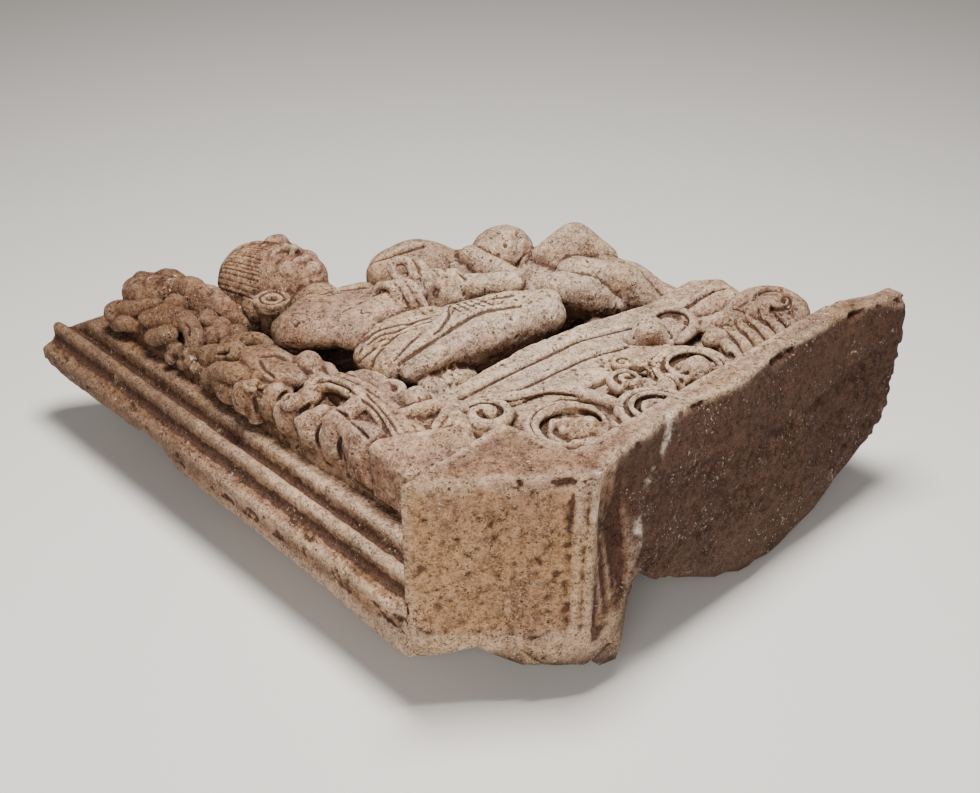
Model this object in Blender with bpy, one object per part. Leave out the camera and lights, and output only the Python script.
"""Sandstone relief panel: a seated couple among scrolling leaves, broken from a temple frieze.

The stone lies on its back with the carving up. X runs along the foot ledge, Y up the carved
face and Z out of it. Carved forms are placed in carving points, counted from the top corner
of the plain corner block: (along the ledge, up the face, out of the face).
"""

import math

import bmesh
import bpy
import numpy as np
from mathutils import Matrix, Vector

# Driving sizes of the block, in metres
panel_width = 0.600
panel_height = 0.647  # from the corner block's edge to the far end
block_depth = 0.249  # from the ledge down to the flat of the back
ground_depth = 0.107  # how far the carved ground lies below the ledge
foot_reach = 0.104  # how far the foot ledge stands out below the corner
ledge_inner_reach = 0.061
corner_width = 0.128
side_depth = 0.184  # how deep the left side goes below the ledge
back_slope_reach = 0.16  # how far in from the edges the back becomes flat
end_lean = 0.010  # how far the top of the right end leans in
far_slant = 0.045  # how much shorter the ground is than the left edge at the far end

# Left frame mouldings, in metres from the left edge and below the ledge
fascia_drop = 0.144
fillet_width = 0.013
fillet_drop = 0.138
groove_width = 0.003
groove_drop = 0.147
roll_start = 0.018
roll_end = 0.029
roll_drop = 0.117
inner_groove_at = 0.036
inner_groove_drop = 0.131
frame_width = 0.0407

# Carving
carving_point = 0.0065  # one point of the carving's layout, in metres
drum_height = 6.0  # of the ground that a scroll is cut in, in carving points
band_groove_width = 0.0065
band_groove_depth = 0.005
drill_radius = 0.006
drill_depth = 0.012
crease_width = 0.006
crease_depth = 0.005

# Making the surface
clay_voxel = 0.0045
solid_triangles = 9400
ring_sides = 12


def smooth_path(points, steps):
    """A Catmull-Rom curve through the points, with its parameter from 0 to 1."""
    points = [np.array(p, float) for p in points]
    ends = [2 * points[0] - points[1], *points, 2 * points[-1] - points[-2]]
    out = []
    for i in range(len(points) - 1):
        a, b, c, d = ends[i:i + 4]
        for k in range(steps):
            t = k / steps
            out.append(0.5 * (2 * b + (c - a) * t + (2 * a - 5 * b + 4 * c - d) * t ** 2
                              + (3 * b - a - 3 * c + d) * t ** 3))
    out.append(points[-1])
    return np.array(out)


class Clay:
    """Closed shapes gathered in one mesh, in metres from the corner block's top corner."""

    def __init__(self):
        self.mesh = bmesh.new()

    def loft(self, sections):
        """A closed body through sections of equal length, capped at both ends."""
        rings = [[self.mesh.verts.new(p) for p in section] for section in sections]
        for lower, upper in zip(rings, rings[1:]):
            for i in range(len(lower)):
                j = (i + 1) % len(lower)
                self.mesh.faces.new((lower[i], lower[j], upper[j], upper[i]))
        self.mesh.faces.new(rings[0][::-1])
        self.mesh.faces.new(rings[-1])

    def lump(self, place, radii, turn=0.0, tip=0.0):
        """An ellipsoid; turn is about Z and tip about its own long side, in degrees."""
        shape = (Matrix.Translation(Vector(place) * carving_point)
                 @ Matrix.Rotation(math.radians(turn), 4, "Z")
                 @ Matrix.Rotation(math.radians(tip), 4, "Y")
                 @ Matrix.Diagonal(Vector((*radii, 1 / carving_point)) * carving_point))
        bmesh.ops.create_icosphere(self.mesh, subdivisions=3, radius=1.0, matrix=shape)

    def limb(self, places, radii, flat=1.0, steps=5):
        """A round-ended tube along a smooth path; flat is its height over its width."""
        rows = smooth_path([(*p, r) for p, r in zip(places, radii)], steps) * carving_point
        path = rows[:, :3]
        along = np.gradient(path, axis=0)
        along /= np.linalg.norm(along, axis=1)[:, None]
        side = np.cross(along, (0.0, 0.0, 1.0))
        steep = np.linalg.norm(side, axis=1) < 0.2
        side[steep] = (1.0, 0.0, 0.0)
        side -= (side * along).sum(1)[:, None] * along
        side /= np.linalg.norm(side, axis=1)[:, None]
        rise = np.cross(side, along)
        sections = []
        for i, (centre, radius) in enumerate(zip(path, rows[:, 3])):
            first, last = i == 0, i == len(path) - 1
            for share in (0.95, 0.75, 0.4) if first else (0.0,):
                sections.append(self.ring(centre - along[i] * radius * share, side[i], rise[i],
                                          radius * math.sqrt(1 - share ** 2), flat))
            for share in (0.4, 0.75, 0.95) if last else ():
                sections.append(self.ring(centre + along[i] * radius * share, side[i], rise[i],
                                          radius * math.sqrt(1 - share ** 2), flat))
        self.loft(sections)

    @staticmethod
    def ring(centre, side, rise, radius, flat):
        turns = np.linspace(0, 2 * math.pi, ring_sides, endpoint=False)
        return [centre + radius * (math.cos(a) * side + flat * math.sin(a) * rise) for a in turns]

    def disc(self, place, radius, height):
        """A short upright drum whose top is at place."""
        drop = Matrix.Translation((Vector(place) - Vector((0, 0, height / 2))) * carving_point)
        bmesh.ops.create_cone(self.mesh, cap_ends=True, segments=28, radius1=radius * carving_point,
                              radius2=radius * carving_point, depth=height * carving_point,
                              matrix=drop)

    def scroll(self, place, radius, thickness, start=0.0, turns=1.1, hand=1, inner=0.35, rise=0.0):
        """A spiral tube round place, from its outer end in to a rounded eye."""
        count = max(6, int(turns * 9))
        path, radii = [], []
        for k in range(count + 1):
            t = k / count
            angle = math.radians(start) + hand * 2 * math.pi * turns * t
            reach = radius * (1 - (1 - inner) * t)
            path.append((place[0] + reach * math.cos(angle), place[1] + reach * math.sin(angle),
                         place[2] + rise * t))
            radii.append(thickness * (1 - 0.25 * t))
        self.limb(path, radii, steps=2)
        self.lump((place[0], place[1], place[2] + rise), (radius * inner,) * 2 + (thickness * 1.2,))
        self.disc((place[0], place[1], place[2] - 0.3 * thickness), 0.95 * radius, drum_height)

    def slab(self, outline, low, high, draw=0.6):
        """A low mass with sloping sides over an outline, between two heights in points."""
        centre = np.mean(outline, axis=0)
        spread = np.array(outline, float) - centre
        reach = np.linalg.norm(spread, axis=1)[:, None]
        wide = centre + spread * (1 + draw / reach)
        narrow = centre + spread * (1 - draw / reach)
        self.loft([[(*p, z) for p in ring * carving_point] for ring, z in
                   ((wide, low * carving_point), (narrow, high * carving_point))])


def panel_body(clay):
    """The slab behind the carving with its left frame, lofted up the face to a slanting break."""
    profile = [(0.0, -fascia_drop), (fillet_width, -fillet_drop),
               (fillet_width + groove_width, -groove_drop), (roll_start, -roll_drop - 0.003),
               ((roll_start + roll_end) / 2, -roll_drop), (roll_end, -roll_drop - 0.003),
               (inner_groove_at, -inner_groove_drop), (frame_width, -ground_depth)]
    # (shares: of the height, of the width, of the depth below the ground, of the side's depth)
    stations = [(0.0, 1.0, 1.0, 1.02), (0.07, 1.0, 1.04, 1.03), (0.17, 1.0, 1.06, 0.98),
                (0.35, 1.0, 1.06, 0.96), (0.5, 0.99, 1.04, 0.96), (0.57, 0.92, 1.0, 0.95),
                (0.61, 0.80, 0.97, 0.86), (0.65, 0.64, 0.93, 0.85), (0.70, 0.52, 0.9, 0.88),
                (0.78, 0.44, 0.86, 0.88), (0.87, 0.37, 0.8, 0.89), (0.95, 0.27, 0.7, 0.89),
                (1.0, 0.22, 0.55, 0.87)]
    sections = []
    for up, wide, deep, side in stations:
        right = wide * panel_width
        back = -ground_depth - deep * (block_depth - ground_depth)
        slope = min(back_slope_reach, 0.4 * right)
        section = list(profile)
        section += [(0.5 * (frame_width + right), -ground_depth), (right, -ground_depth - 0.004),
                    (right, -ground_depth - 0.4 * (block_depth - ground_depth)),
                    (right - 0.3 * slope, 0.8 * back), (right - slope, back), (slope, back),
                    (0.0, -side * side_depth)]
        break_slant = far_slant * up ** 8
        run = frame_width - inner_groove_at
        sections.append([(x, up * panel_height
                          - break_slant * min(1.0, max(0.0, (x - inner_groove_at) / run)), z)
                         for x, z in section][::-1])
    clay.loft(sections)


def corner_block(clay):
    """The plain block at the near corner, with its worn diagonal face."""
    # (shares: of the block's width, of the foot's reach, of the side's depth where it ends)
    corners = [(0.0, 0.0, 1.03), (0.98, -0.10, 1.15), (1.08, 0.60, 1.22), (1.0, 0.98, 1.20),
               (0.83, 0.82, 1.15), (0.6, 0.59, 1.10), (0.42, 0.41, 0.99), (0.3, 0.3, 0.97),
               (0.2, 0.2, 1.03)]
    upper = [(x * corner_width, -y * foot_reach, 0.0) for x, y, z in corners]
    lower = [(x * corner_width, -y * foot_reach, -z * side_depth) for x, y, z in corners]
    clay.loft([upper, lower])


def foot_course(clay):
    """The ledge and the broken side below it, lofted along the foot of the panel."""
    # (shares: of the width, ledge edge, side above, side below, underside's depth, inner edge)
    stations = [(0.187, 0.92, 0.90, 0.90, 0.84, 1.0), (0.217, 0.98, 0.95, 0.94, 0.86, 1.0),
                (0.239, 0.94, 0.88, 0.97, 0.895, 1.0), (0.263, 0.91, 0.82, 1.0, 0.91, 1.0),
                (0.277, 0.88, 0.80, 1.0, 0.90, 1.0), (0.286, 0.88, 0.80, 1.0, 0.84, 1.0),
                (0.290, 0.88, 0.80, 1.0, 0.74, 1.0), (0.296, 0.88, 0.82, 1.0, 0.65, 1.0),
                (0.318, 0.87, 0.86, 1.0, 0.56, 1.0), (0.382, 0.80, 0.90, 1.0, 0.655, 1.0),
                (0.436, 0.80, 0.92, 1.0, 0.74, 1.0), (0.490, 0.85, 0.95, 1.0, 0.815, 1.0),
                (0.546, 0.89, 0.98, 1.0, 0.87, 1.0), (0.603, 0.85, 0.97, 1.0, 0.915, 1.0),
                (0.661, 0.83, 0.97, 1.0, 0.94, 1.0), (0.774, 0.82, 0.96, 1.0, 0.89, 1.0),
                (0.829, 0.81, 0.95, 1.0, 0.82, 1.0), (0.880, 0.86, 0.97, 1.0, 0.72, 1.05),
                (0.937, 0.95, 1.0, 1.0, 0.66, 1.33), (1.0, 1.02, 1.02, 1.0, 0.58, 1.36)]
    inside = 0.1 * panel_height
    sections = []
    for along, edge, upper, lower, deep, inner in stations:
        x = along * panel_width
        top = min(x, panel_width - end_lean)
        under = -deep * block_depth - 0.005
        sections.append([(top, -inner * ledge_inner_reach, 0.0), (top, -edge * foot_reach, -0.001),
                         (x, -upper * foot_reach, 0.3 * under), (x, -lower * foot_reach, 0.75 * under),
                         (x, -0.98 * lower * foot_reach, under), (x, inside, under - 0.004),
                         (x, inside, -ground_depth - 0.01), (x, -ledge_inner_reach, -ground_depth)])
    clay.loft(sections)


def left_figure(clay):
    """The reclining figure on the left: head, ear disc, arm on the lap, crossed legs."""
    clay.lump((30.8, 67.3, -7.2), (6.6, 9.2, 6.0), turn=8)
    clay.lump((30.2, 69.8, -8.3), (7.0, 8.4, 5.8), turn=8)
    clay.lump((33.2, 69.8, -3.1), (2.2, 2.2, 1.8))
    clay.lump((28.3, 75.6, -9.6), (4.7, 4.2, 4.2))
    clay.lump((26.6, 70.5, -10.0), (3.0, 5.6, 3.2))
    clay.disc((24.9, 61.9, -7.0), 3.1, 4.6)
    clay.lump((26.5, 60.0, -11.5), (5.0, 5.5, 4.0))
    clay.limb([(31.5, 64.0, -9.5), (31.0, 56.5, -9.5)], [4.8, 5.4])
    clay.lump((29.8, 52.3, -9.3), (8.3, 5.6, 5.0))
    clay.lump((36.0, 52.0, -8.6), (4.6, 4.6, 4.4))
    clay.lump((27.8, 47.5, -9.6), (7.4, 7.2, 5.0))
    clay.limb([(20.6, 51.8, -8.0), (22.0, 46.6, -7.6), (24.4, 42.4, -7.4)], [4.4, 4.0, 3.6])
    clay.limb([(24.4, 42.4, -7.4), (30.0, 43.3, -6.3), (36.2, 43.9, -5.4)], [3.6, 3.2, 2.6])
    for k in range(5):
        clay.lump((35.2 + 1.0 * k, 44.4 - 0.6 * k, -5.2), (1.0, 3.2, 2.9), turn=-22)
    clay.lump((39.6, 45.6, -4.6), (3.0, 3.6, 2.8), turn=-20)
    clay.limb([(37.6, 46.8, -3.4), (38.6, 49.4, -2.4), (40.8, 49.4, -2.0), (41.4, 46.8, -2.6)],
              [1.1, 1.2, 1.2, 1.0])
    clay.lump((32.0, 39.3, -9.8), (7.2, 5.2, 5.0))
    clay.lump((28.6, 35.0, -10.2), (7.6, 6.0, 5.4))
    clay.limb([(31.0, 34.0, -9.0), (40.0, 33.2, -7.6), (49.0, 30.4, -7.0), (54.4, 27.8, -7.4)],
              [5.2, 5.0, 4.4, 4.0])
    clay.limb([(27.4, 29.2, -10.0), (36.0, 27.6, -8.6), (46.0, 27.0, -8.0), (54.6, 26.8, -8.2)],
              [4.0, 4.5, 4.5, 4.2])
    clay.lump((31.0, 24.0, -10.4), (4.8, 2.4, 2.8), turn=-10)


def right_figure(clay):
    """The worn figure on the right, leaning in, with drawn-up legs."""
    clay.lump((48.2, 53.3, -5.9), (7.4, 6.2, 5.5), turn=-24)
    clay.lump((52.6, 51.0, -7.4), (7.0, 5.6, 5.0), turn=-24)
    clay.lump((43.9, 43.7, -6.0), (3.1, 3.4, 3.2))
    clay.lump((46.8, 42.4, -5.2), (3.4, 2.8, 3.2), turn=-30)
    clay.limb([(46.0, 40.2, -4.4), (50.0, 37.2, -4.6), (54.2, 34.4, -5.2)], [2.3, 2.3, 2.5])
    clay.limb([(55.9, 45.4, -3.4), (56.2, 40.0, -4.2), (54.8, 35.0, -5.4)], [2.3, 2.3, 2.5])
    clay.lump((54.6, 46.0, -8.6), (7.0, 6.0, 4.6))
    clay.lump((61.9, 45.2, -5.2), (6.0, 5.2, 5.0), turn=-15)
    clay.limb([(61.5, 43.5, -8.6), (63.2, 38.5, -9.4), (62.4, 32.5, -10.0)], [5.0, 4.6, 5.2])
    clay.limb([(66.2, 39.2, -4.4), (70.0, 36.2, -3.2), (73.4, 32.0, -5.4)], [2.0, 4.2, 2.8])
    clay.limb([(60.2, 29.6, -6.2), (64.0, 27.6, -7.4), (68.0, 24.4, -10.0)], [3.9, 3.6, 2.6])
    clay.limb([(66.6, 31.5, -6.6), (70.7, 25.6, -6.8), (73.2, 21.0, -10.0)], [4.2, 4.2, 3.0])
    clay.limb([(71.2, 31.0, -7.9), (74.6, 26.4, -8.8), (77.2, 20.6, -10.8)], [4.3, 3.7, 2.7])
    clay.lump((67.0, 25.0, -12.4), (4.0, 3.0, 2.6))
    clay.lump((70.0, 33.0, -11.0), (8.0, 7.0, 5.0))


def seat(clay):
    """The three-banded seat under the figures."""
    clay.slab([(22.0, 20.6), (44.0, 22.4), (56.0, 21.2), (67.0, 18.6), (76.0, 16.8), (81.0, 12.0),
               (80.0, 7.0), (60.0, 6.0), (24.0, 9.0)], -18.0, -7.4)
    clay.limb([(60.0, 17.2, -9.4), (68.0, 16.4, -8.8), (75.6, 13.4, -5.8), (79.4, 9.6, -6.6)],
              [2.6, 2.8, 3.4, 2.8], flat=0.9)
    clay.slab([(20.0, 24.0), (24.0, 52.0), (30.0, 64.0), (44.0, 58.0), (66.0, 48.0), (76.0, 34.0),
               (78.0, 22.0), (60.0, 20.0)], -18.0, -13.0)


def lower_foliage(clay):
    """Volutes and leaves between the seat and the ledge."""
    clay.slab([(20.0, 14.0), (40.0, 12.0), (60.0, 10.0), (80.0, 8.0), (84.0, 0.0), (82.0, -9.8),
               (50.0, -10.2), (22.0, -10.0)], -18.0, -7.6)
    clay.scroll((25.4, 11.2, -7.0), 4.0, 1.4, start=150, turns=1.2, hand=-1, rise=0.4)
    clay.limb([(23.0, 14.6, -8.0), (28.0, 15.6, -7.6), (32.0, 12.0, -7.8), (35.0, 6.0, -8.4)],
              [1.0, 1.3, 1.3, 1.0])
    clay.scroll((28.2, -1.6, -4.6), 5.8, 1.2, start=215, turns=1.25, hand=-1, inner=0.42, rise=0.2)
    clay.lump((28.8, -2.2, -4.8), (2.6, 2.6, 2.2))
    clay.scroll((47.0, 1.8, -5.6), 3.3, 1.2, start=160, turns=1.0, hand=-1, rise=0.5)
    clay.limb([(38.0, -8.8, -4.8), (38.9, -4.8, -4.5), (42.0, -3.4, -4.3), (45.4, -5.4, -4.5),
               (46.0, -8.8, -4.8)], [1.2, 1.3, 1.3, 1.2, 1.1])
    clay.lump((42.2, -7.4, -5.2), (2.3, 2.6, 1.8))
    clay.lump((49.2, -3.6, -5.2), (2.1, 2.1, 2.2))
    clay.lump((53.9, 4.4, -7.2), (2.2, 2.2, 2.0))
    clay.limb([(49.6, 4.6, -7.4), (52.0, 0.6, -6.4), (51.0, -3.0, -6.8)], [1.1, 1.3, 1.0])
    clay.lump((57.4, 3.2, -7.0), (3.2, 3.0, 3.0))
    clay.lump((54.8, -3.2, -6.0), (3.2, 3.0, 2.9))
    clay.lump((60.2, 10.0, -6.6), (3.2, 2.6, 2.4), turn=-30)
    clay.limb([(56.8, 8.4, -8.0), (59.4, 5.6, -6.6), (63.4, 6.4, -6.0), (64.4, 9.6, -6.2),
               (61.6, 11.8, -6.4)], [1.6, 1.8, 1.7, 1.4, 1.2])
    clay.limb([(59.0, -0.6, -7.4), (62.6, 1.8, -6.6), (66.6, 3.2, -6.8)], [1.6, 2.0, 1.4])
    clay.lump((71.0, 4.2, -6.6), (4.2, 2.6, 2.6), turn=-25)
    clay.lump((70.2, 0.0, -6.2), (2.1, 2.0, 2.2))
    for k in range(5):
        root = (66.0 + 3.4 * k, 1.6 - 0.4 * k, -7.4)
        tip = (60.4 + 4.4 * k, -8.6 + 0.3 * k, -6.8)
        middle = (62.6 + 3.9 * k, -3.4 - 0.1 * k, -5.8)
        clay.limb([root, middle, tip], [1.2, 1.6, 1.2])
    clay.limb([(75.4, 4.4, -5.8), (79.6, 2.0, -4.4), (80.8, -1.6, -4.4), (79.0, -4.4, -6.0)],
              [1.8, 2.2, 2.2, 1.6])


def side_foliage(clay):
    """The column of curling leaves beside the left frame."""
    clay.slab([(9.0, 12.0), (7.6, 30.0), (7.6, 60.0), (8.0, 84.0), (20.0, 84.0), (22.0, 60.0),
               (20.0, 44.0), (24.0, 30.0), (24.0, 8.0)], -18.0, -12.0)
    # Near the corner block: a broad folded leaf with its ribs running down to the ground
    for place, foot, tip, thick in (((13.8, 17.2, -8.0), (9.4, 13.4, -13.0), (19.4, 11.6, -8.0), 3.4),
                                    ((11.4, 21.8, -8.4), (8.0, 18.4, -13.2), (16.0, 19.6, -7.2), 2.9),
                                    ((10.4, 27.0, -9.2), (7.2, 24.2, -13.4), (15.0, 26.4, -7.4), 2.6)):
        clay.limb([foot, place, tip], [0.8 * thick, thick, 0.8 * thick])
    clay.lump((18.4, 12.4, -8.4), (4.0, 3.2, 2.8))
    clay.lump((24.0, 15.6, -8.6), (2.6, 4.0, 2.6))
    clay.limb([(12.0, 20.0, -6.8), (14.6, 27.0, -6.4), (17.0, 33.0, -6.8), (13.4, 36.0, -7.6),
               (9.6, 33.6, -9.4)], [1.8, 2.2, 2.2, 2.0, 1.8])
    clay.limb([(17.0, 19.6, -7.2), (18.6, 26.0, -6.8), (20.2, 31.4, -7.4)], [1.5, 1.8, 1.4])
    clay.lump((10.6, 32.2, -9.2), (3.8, 3.2, 3.4))
    clay.lump((22.0, 28.6, -9.0), (2.2, 2.8, 2.2))
    clay.scroll((22.6, 22.0, -7.6), 2.5, 1.1, start=120, turns=0.9, hand=-1)
    clay.lump((17.6, 38.6, -9.2), (1.6, 2.4, 1.8))
    clay.lump((21.4, 34.6, -9.2), (2.0, 2.6, 1.8))
    # Middle: rolled leaves, a hooked leaf round a boss, then pods and buds
    clay.lump((9.8, 39.0, -10.4), (3.2, 3.2, 3.4))
    clay.scroll((8.2, 43.6, -10.0), 2.8, 1.5, start=200, turns=1.1, hand=-1)
    clay.limb([(7.6, 46.6, -11.4), (8.2, 50.8, -9.8), (11.6, 52.4, -9.4)], [1.9, 2.3, 1.8])
    clay.limb([(11.6, 40.4, -9.2), (12.4, 45.2, -8.4), (14.2, 50.6, -8.6)], [2.2, 2.5, 1.8])
    clay.limb([(15.4, 41.2, -9.0), (15.2, 46.0, -7.6), (18.2, 48.6, -7.4), (20.6, 46.2, -8.0)],
              [1.4, 1.6, 1.5, 1.2])
    clay.lump((18.8, 44.2, -8.6), (2.7, 2.7, 2.8))
    clay.lump((11.8, 56.8, -10.0), (3.5, 3.3, 3.2))
    clay.limb([(16.4, 52.6, -9.4), (16.8, 56.6, -9.0), (14.6, 59.4, -9.4)], [1.6, 1.8, 1.4])
    for place in ((13.4, 63.4, -10.0), (16.6, 65.0, -10.0), (16.0, 60.4, -10.2)):
        clay.lump(place, (2.3, 2.6, 2.3), turn=30)
    for k in range(5):
        clay.lump((8.0 + 0.4 * (k % 2), 58.6 + 2.0 * k, -12.4), (1.5, 1.4, 1.6))
    # Top: an arched leaf, hollow lobes and a rough mass at the broken end
    clay.lump((8.2, 70.4, -10.8), (3.0, 2.4, 2.6), turn=20)
    clay.limb([(10.2, 66.0, -10.4), (11.6, 70.4, -8.8), (10.4, 74.6, -9.2), (7.4, 76.4, -11.0)],
              [1.9, 2.2, 2.0, 1.6])
    clay.lump((15.4, 69.0, -10.2), (2.6, 3.0, 2.6))
    clay.limb([(6.8, 80.0, -12.6), (7.6, 84.2, -12.0), (11.2, 83.0, -10.4)], [1.6, 1.8, 1.8])
    clay.lump((12.6, 79.2, -9.6), (2.4, 3.0, 2.8))
    clay.lump((14.6, 75.4, -9.0), (2.8, 2.4, 2.6))
    clay.lump((14.4, 83.6, -9.8), (3.6, 3.6, 3.6))
    clay.lump((18.2, 82.6, -9.8), (3.2, 4.2, 3.4))
    clay.lump((20.4, 76.4, -10.8), (4.0, 5.0, 3.6))
    clay.lump((22.8, 71.0, -12.6), (3.6, 5.0, 3.0))


class Surface:
    """The points of a mesh, moved as a carver's tools would move them."""

    def __init__(self, mesh):
        self.mesh = mesh
        self.points = np.empty(len(mesh.vertices) * 3, np.float64)
        mesh.vertices.foreach_get("co", self.points)
        self.points = self.points.reshape(-1, 3)

    def press(self, place, radius, depth):
        """A hollow pressed straight down, deepest in its middle."""
        centre = np.array(place, float) * carving_point
        away = np.linalg.norm((self.points - centre)[:, :2], axis=1) / radius
        near = (away < 1) & (np.abs(self.points[:, 2] - centre[2]) < 0.02)
        self.points[near, 2] -= depth * (1 - away[near] ** 2) ** 1.5

    def groove(self, places, width, depth, reach=0.016):
        """A groove along a smooth line of places."""
        line = smooth_path(places, 8) * carving_point
        low, high = line.min(0) - reach, line.max(0) + reach
        near = np.flatnonzero(((self.points > low) & (self.points < high)).all(1))
        away = np.full(len(near), np.inf)
        for a, b in zip(line, line[1:]):
            run = (b - a)[:2]
            off = self.points[near, :2] - a[:2]
            t = np.clip(off @ run / max(run @ run, 1e-12), 0, 1)
            away = np.minimum(away, np.linalg.norm(off - t[:, None] * run, axis=1))
        self.points[near, 2] -= depth * np.clip(1 - (away / width) ** 2, 0, 1)

    def write(self):
        self.mesh.vertices.foreach_set("co", self.points.ravel())
        self.mesh.update()


def carve_hollows(surface):
    """The grooves and hollows that show from a step away."""
    surface.groove([(27.0, 18.2, -7.4), (35.4, 18.2, -7.4), (43.4, 18.0, -7.4), (52.0, 17.6, -7.4),
                    (61.0, 14.8, -7.4)], band_groove_width, band_groove_depth)
    surface.groove([(31.0, 14.2, -7.4), (38.0, 13.8, -7.4), (44.0, 13.6, -7.4), (50.0, 13.0, -7.4),
                    (56.0, 11.2, -7.4)], band_groove_width, band_groove_depth)
    surface.press((24.9, 61.9, -7.0), 1.6 * drill_radius, 0.8 * drill_depth)
    # The crease between the two crossed legs, and the wrist where the rings end
    surface.groove([(27.5, 32.4, -8.0), (31.8, 31.2, -6.0), (35.3, 30.7, -4.5), (42.4, 30.3, -3.5),
                    (48.4, 27.3, -3.5)], crease_width, crease_depth)
    surface.groove([(42.0, 49.4, -5.0), (42.6, 46.2, -4.2), (41.4, 42.6, -6.0)], crease_width,
                   crease_depth)
    # The folds of the broad leaf near the corner and the veins of the leaves above it
    for line in (((9.0, 15.0, -12.0), (12.6, 19.4, -6.2), (15.6, 17.4, -5.6)),
                 ((7.4, 21.0, -12.4), (10.8, 24.6, -7.0), (14.4, 23.4, -6.2)),
                 ((8.2, 36.6, -10.0), (12.4, 38.6, -7.4), (15.6, 37.4, -6.4)),
                 ((13.6, 42.0, -8.0), (14.0, 46.6, -6.8), (16.0, 50.4, -6.8)),
                 ((64.2, -8.4, -5.6), (65.8, -3.4, -4.4), (69.0, 1.0, -5.6)),
                 ((68.4, -8.2, -5.6), (69.8, -3.4, -4.4), (72.4, 0.6, -5.6)),
                 ((72.8, -8.0, -5.6), (73.6, -3.4, -4.4), (75.6, 0.4, -5.6))):
        surface.groove(line, crease_width, crease_depth)


def to_object(clay, name):
    mesh = bpy.data.meshes.new(name)
    bmesh.ops.recalc_face_normals(clay.mesh, faces=clay.mesh.faces)
    clay.mesh.to_mesh(mesh)
    clay.mesh.free()
    thing = bpy.data.objects.new(name, mesh)
    bpy.context.scene.collection.objects.link(thing)
    return thing


def apply_modifiers(thing):
    """Replaces the object's mesh by the one that its modifiers make."""
    graph = bpy.context.evaluated_depsgraph_get()
    made = bpy.data.meshes.new_from_object(thing.evaluated_get(graph))
    thing.modifiers.clear()
    thing.data = made


def flatten_back(mesh):
    """Cuts the back off level, so that the stone lies on one true flat face."""
    cut = bmesh.new()
    cut.from_mesh(mesh)
    level = Vector((0.0, 0.0, -block_depth))
    whole = cut.verts[:] + cut.edges[:] + cut.faces[:]
    made = bmesh.ops.bisect_plane(cut, geom=whole, plane_co=level, plane_no=(0, 0, -1),
                                  clear_outer=True)
    rim = [e for e in made["geom_cut"] if isinstance(e, bmesh.types.BMEdge)]
    bmesh.ops.triangle_fill(cut, use_beauty=True, use_dissolve=False, edges=rim)
    bmesh.ops.recalc_face_normals(cut, faces=cut.faces)
    cut.to_mesh(mesh)
    cut.free()


def sandstone():
    stone = bpy.data.materials.new("sandstone")
    stone.use_nodes = True
    shader = stone.node_tree.nodes["Principled BSDF"]
    shader.inputs["Base Color"].default_value = (0.36, 0.235, 0.175, 1.0)
    shader.inputs["Roughness"].default_value = 0.9
    shader.inputs["Metallic"].default_value = 0.0
    return stone


def relief_panel():
    clay = Clay()
    for form in (panel_body, corner_block, foot_course, seat, left_figure, right_figure,
                 lower_foliage, side_foliage):
        form(clay)
    panel = to_object(clay, "stone_relief_panel")
    skin = panel.modifiers.new("one skin", "REMESH")
    skin.mode = "VOXEL"
    skin.voxel_size = clay_voxel
    soften = panel.modifiers.new("soften", "SMOOTH")
    soften.factor = 0.5
    soften.iterations = 2
    apply_modifiers(panel)
    surface = Surface(panel.data)
    carve_hollows(surface)
    surface.write()
    thin = panel.modifiers.new("fewer faces", "DECIMATE")
    bpy.context.view_layer.update()
    thin.ratio = solid_triangles / sum(len(p.vertices) - 2 for p in panel.data.polygons)
    apply_modifiers(panel)
    flatten_back(panel.data)
    middle = (panel_width / 2, (panel_height - foot_reach) / 2)
    panel.data.transform(Matrix.Translation((-middle[0], -middle[1], block_depth)))
    panel.data.shade_smooth()
    panel.data.set_sharp_from_angle(angle=math.radians(40))
    panel.data.materials.append(sandstone())
    return panel


for thing in list(bpy.data.objects):
    bpy.data.objects.remove(thing)
relief_panel()
